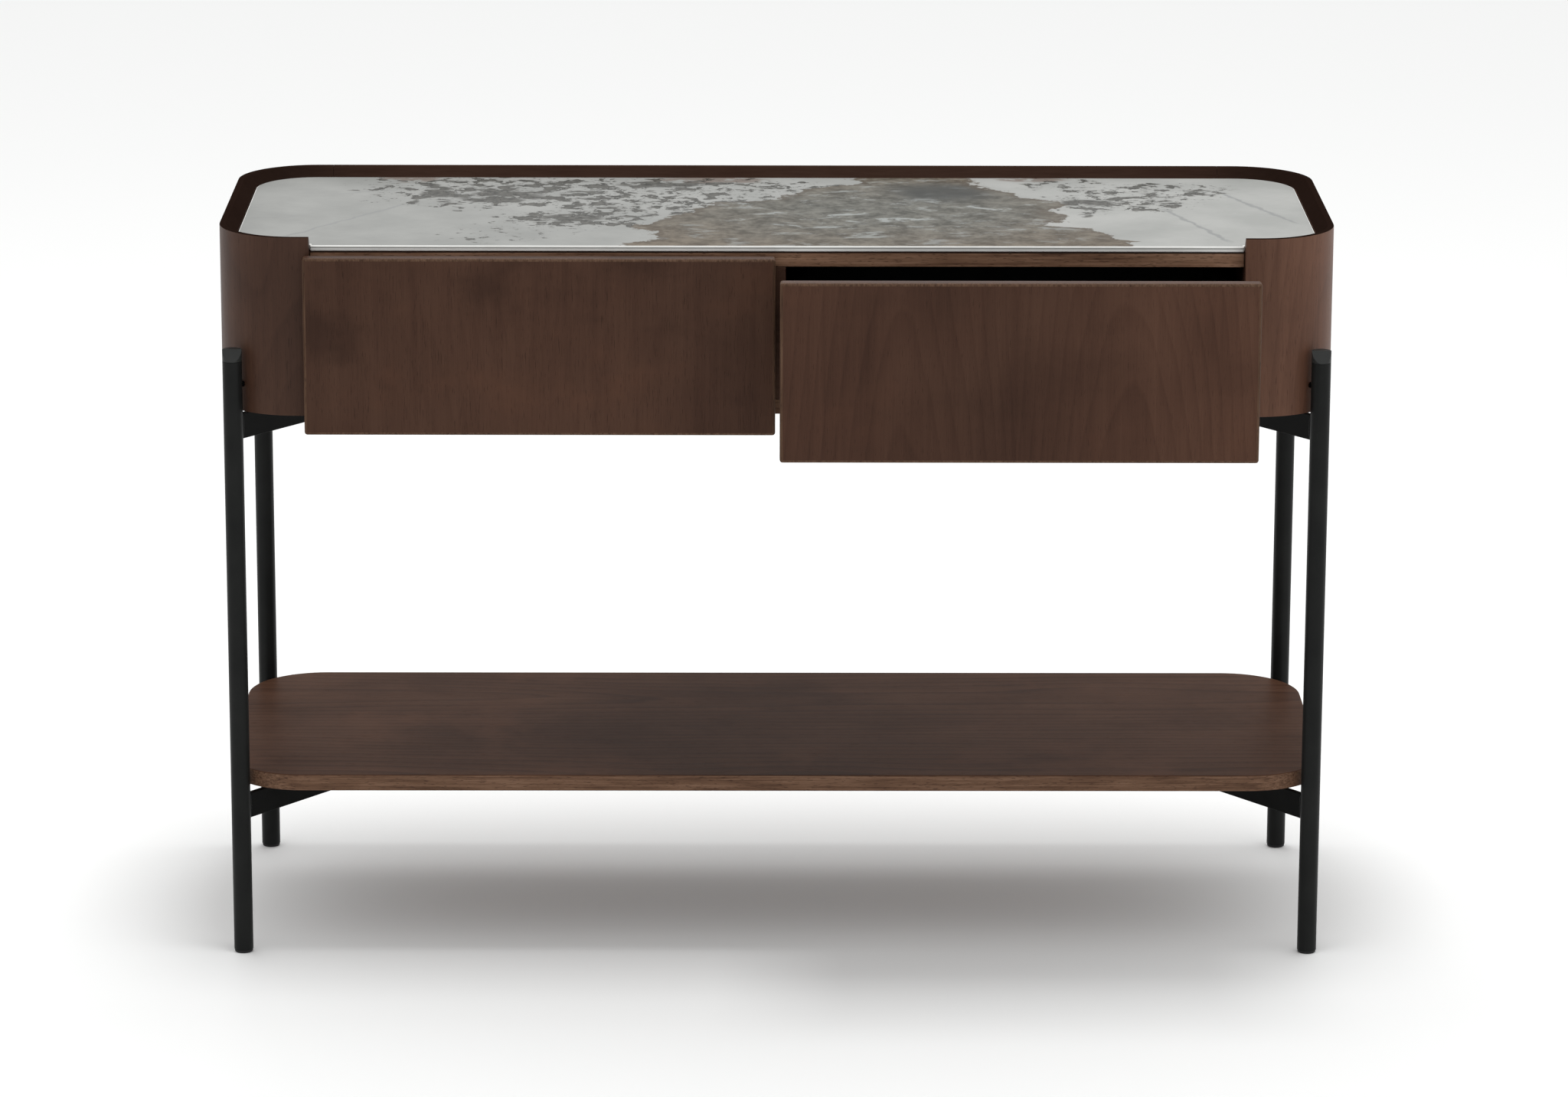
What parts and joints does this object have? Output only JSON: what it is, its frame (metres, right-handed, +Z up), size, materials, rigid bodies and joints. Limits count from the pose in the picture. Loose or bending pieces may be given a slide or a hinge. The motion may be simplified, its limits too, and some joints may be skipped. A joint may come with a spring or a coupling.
{
  "type": "console table",
  "caption": "Console table with rounded ends: a walnut cabinet with overlay drawers and a stone top let into its rim, on round black steel legs with a shelf below.",
  "frame": {"origin": "on the floor, below the middle of the table's plan with its right drawer standing open as stored", "axes": "+X to the right along the table's length, -Y out of its drawers to the front, +Z up"},
  "size_m": [1.2, 0.564, 0.8],
  "materials": {
    "walnut": "dark walnut veneer, satin lacquer",
    "stone": "light grey sintered stone, satin, clouded",
    "black_steel": "satin black powder coat",
    "drawer_board": "charcoal melamine-faced board, fine linen texture",
    "zinc_steel": "zinc plated",
    "black_nylon": "moulded, matte"
  },
  "bodies": {
    "table": {"back_left_glide": "black_nylon", "back_left_leg": "black_steel", "back_left_leg_bolt": "zinc_steel", "back_left_leg_cap": "black_steel", "back_panel": "walnut", "back_right_glide": "black_nylon", "back_right_leg": "black_steel", "back_right_leg_bolt": "zinc_steel", "back_right_leg_cap": "black_steel", "bottom_board": "walnut", "centre_divider": "walnut", "front_left_glide": "black_nylon", "front_left_leg": "black_steel", "front_left_leg_bolt": "zinc_steel", "front_left_leg_cap": "black_steel", "front_right_glide": "black_nylon", "front_right_leg": "black_steel", "front_right_leg_bolt": "zinc_steel", "front_right_leg_cap": "black_steel", "left_brace_plate": "black_steel", "left_drawer_left_slide_cabinet_member": "zinc_steel", "left_drawer_right_slide_cabinet_member": "zinc_steel", "left_end_shell": "walnut", "left_lower_brace": "black_steel", "left_partition": "walnut", "left_shelf_block": "black_nylon", "left_upper_brace": "black_steel", "right_brace_plate": "black_steel", "right_drawer_left_slide_cabinet_member": "zinc_steel", "right_drawer_right_slide_cabinet_member": "zinc_steel", "right_end_shell": "walnut", "right_lower_brace": "black_steel", "right_partition": "walnut", "right_shelf_block": "black_nylon", "right_upper_brace": "black_steel", "shelf": "walnut", "stone_top": "stone", "top_board": "walnut"},
    "left_drawer": {"left_drawer_box_back": "drawer_board", "left_drawer_box_front": "drawer_board", "left_drawer_floor": "drawer_board", "left_drawer_front": "walnut", "left_drawer_left_side": "drawer_board", "left_drawer_left_slide_drawer_member": "zinc_steel", "left_drawer_right_side": "drawer_board", "left_drawer_right_slide_drawer_member": "zinc_steel"},
    "left_slide_middles": {"left_drawer_left_slide_middle_member": "zinc_steel", "left_drawer_right_slide_middle_member": "zinc_steel"},
    "right_drawer": {"right_drawer_box_back": "drawer_board", "right_drawer_box_front": "drawer_board", "right_drawer_floor": "drawer_board", "right_drawer_front": "walnut", "right_drawer_left_side": "drawer_board", "right_drawer_left_slide_drawer_member": "zinc_steel", "right_drawer_right_side": "drawer_board", "right_drawer_right_slide_drawer_member": "zinc_steel"},
    "right_slide_middles": {"right_drawer_left_slide_middle_member": "zinc_steel", "right_drawer_right_slide_middle_member": "zinc_steel"}
  },
  "joints": [
    {"name": "left_drawer_slide", "type": "slide", "parent": "table", "child": "left_drawer", "axis": [0, -1, 0], "range_m": [0, 0.35]},
    {"name": "left_middle_slide", "type": "slide", "parent": "table", "child": "left_slide_middles", "axis": [0, -1, 0], "range_m": [0, 0.175]},
    {"name": "right_drawer_slide", "type": "slide", "parent": "table", "child": "right_drawer", "axis": [0, -1, 0], "range_m": [-0.125, 0.225]},
    {"name": "right_middle_slide", "type": "slide", "parent": "table", "child": "right_slide_middles", "axis": [0, -1, 0], "range_m": [-0.0625, 0.1125]}
  ],
  "couplings": [
    {"joint": "left_middle_slide", "follows": "left_drawer_slide", "ratio": 0.5},
    {"joint": "right_middle_slide", "follows": "right_drawer_slide", "ratio": 0.5}
  ]
}
